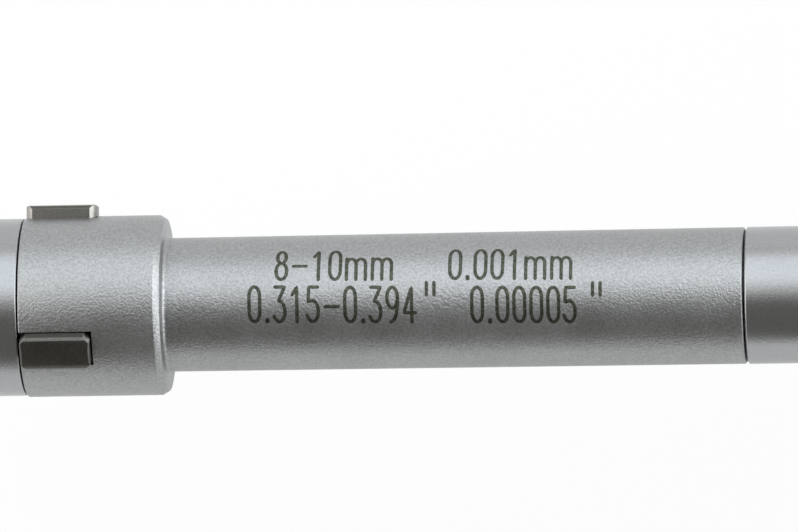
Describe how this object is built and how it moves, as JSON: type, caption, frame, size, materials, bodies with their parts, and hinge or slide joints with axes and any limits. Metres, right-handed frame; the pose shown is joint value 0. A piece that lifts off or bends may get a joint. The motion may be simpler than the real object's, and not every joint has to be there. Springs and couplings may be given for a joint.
{
  "type": "inside micrometer",
  "caption": "Electronic three-point inside micrometer: slim measuring head with sliding anvils driven by a cone, display housing, thimble and ratchet.",
  "frame": {"origin": "middle of the display housing's flat back, which the instrument rests on", "axes": "+X along the measuring axis from the measuring head to the ratchet, +Z the way the display faces"},
  "size_m": [0.182, 0.034, 0.0299],
  "materials": {
    "satin_chrome": "fine-grained matte satin chrome",
    "smooth_chrome": "smooth satin chrome",
    "anvil_carbide": "dark ground hard metal",
    "steel": "turned steel",
    "brass": "turned brass",
    "housing_plastic": "fine-textured moulded plastic",
    "cap_plastic": "moulded plastic",
    "button_rubber": "matte rubber",
    "window": "clear polished",
    "display_panel": "grey-green display",
    "board": "green circuit board"
  },
  "bodies": {
    "frame": {"head_body": "satin_chrome", "end_cap": "smooth_chrome", "cap_screw_1": "steel", "cap_screw_2": "steel", "cap_screw_3": "steel", "rod_guide_bush": "brass", "rod_return_spring": "steel", "stem_tube": "smooth_chrome", "nose_collar": "satin_chrome", "barrel": "steel", "stator_disc": "board", "rotor_bearing": "brass", "sleeve": "smooth_chrome", "spindle_nut": "brass", "adjusting_nut": "steel", "housing_back": "housing_plastic", "housing_front": "housing_plastic", "housing_screw_1": "steel", "housing_screw_2": "steel", "housing_screw_3": "steel", "housing_screw_4": "steel", "lcd_window": "window", "lcd_panel": "display_panel", "circuit_board": "board", "board_screw_1": "steel", "board_screw_2": "steel", "board_screw_3": "steel", "board_screw_4": "steel", "battery": "steel", "battery_contact": "brass"},
    "feed": {"measuring_cone": "steel", "push_rod": "steel", "thrust_ball": "steel"},
    "spindle_group": {"spindle": "steel", "thimble": "satin_chrome", "ratchet_body": "steel", "ratchet_spring": "steel", "ratchet_screw": "steel"},
    "ratchet": {"ratchet_knob": "satin_chrome"},
    "rotor": {"rotor_disc": "brass"},
    "anvil_a": {"anvil_1": "anvil_carbide"},
    "anvil_b": {"anvil_2": "anvil_carbide"},
    "anvil_c": {"anvil_3": "anvil_carbide"},
    "key_a": {"button_1": "button_rubber"},
    "key_b": {"button_2": "button_rubber"},
    "key_c": {"button_3": "button_rubber"},
    "battery_door": {"battery_cap": "cap_plastic"}
  },
  "joints": [
    {"name": "rod_feed", "type": "slide", "parent": "frame", "child": "feed", "axis": [-1, 0, 0], "range_m": [-0.0008, 0.0012], "deforming": ["rod_return_spring"]},
    {"name": "thimble_turn", "type": "hinge", "parent": "feed", "child": "spindle_group", "pos_m": [0.045, 0, 0.014], "axis": [-1, 0, 0], "range_deg": [-577, 865]},
    {"name": "ratchet_turn", "type": "hinge", "parent": "spindle_group", "child": "ratchet", "pos_m": [0.075, 0, 0.014], "axis": [-1, 0, 0], "continuous": true},
    {"name": "rotor_turn", "type": "hinge", "parent": "frame", "child": "rotor", "pos_m": [-0.01, 0, 0.014], "axis": [-1, 0, 0], "range_deg": [-577, 865]},
    {"name": "anvil_a_slide", "type": "slide", "parent": "frame", "child": "anvil_a", "axis": [0, 1, 0], "range_m": [-0.0004, 0.0006]},
    {"name": "anvil_b_slide", "type": "slide", "parent": "frame", "child": "anvil_b", "axis": [0, -0.5, 0.866], "range_m": [-0.0004, 0.0006]},
    {"name": "anvil_c_slide", "type": "slide", "parent": "frame", "child": "anvil_c", "axis": [0, -0.5, -0.866], "range_m": [-0.0004, 0.0006]},
    {"name": "button_1_press", "type": "slide", "parent": "frame", "child": "key_a", "axis": [0, 0, -1], "range_m": [0, 0.0005], "stiffness_N_per_m": 600, "springref_m": -0.0005},
    {"name": "button_2_press", "type": "slide", "parent": "frame", "child": "key_b", "axis": [0, 0, -1], "range_m": [0, 0.0005], "stiffness_N_per_m": 600, "springref_m": -0.0005},
    {"name": "button_3_press", "type": "slide", "parent": "frame", "child": "key_c", "axis": [0, 0, -1], "range_m": [0, 0.0005], "stiffness_N_per_m": 600, "springref_m": -0.0005},
    {"name": "battery_cap_turn", "type": "hinge", "parent": "frame", "child": "battery_door", "pos_m": [0.0125, 0, 0.001], "axis": [0, 0, -1], "range_deg": [0, 60]}
  ],
  "couplings": [
    {"joint": "thimble_turn", "follows": "rod_feed", "rad_per_m": 12566},
    {"joint": "rotor_turn", "follows": "rod_feed", "rad_per_m": 12566},
    {"joint": "anvil_a_slide", "follows": "rod_feed", "ratio": 0.5},
    {"joint": "anvil_b_slide", "follows": "rod_feed", "ratio": 0.5},
    {"joint": "anvil_c_slide", "follows": "rod_feed", "ratio": 0.5}
  ]
}
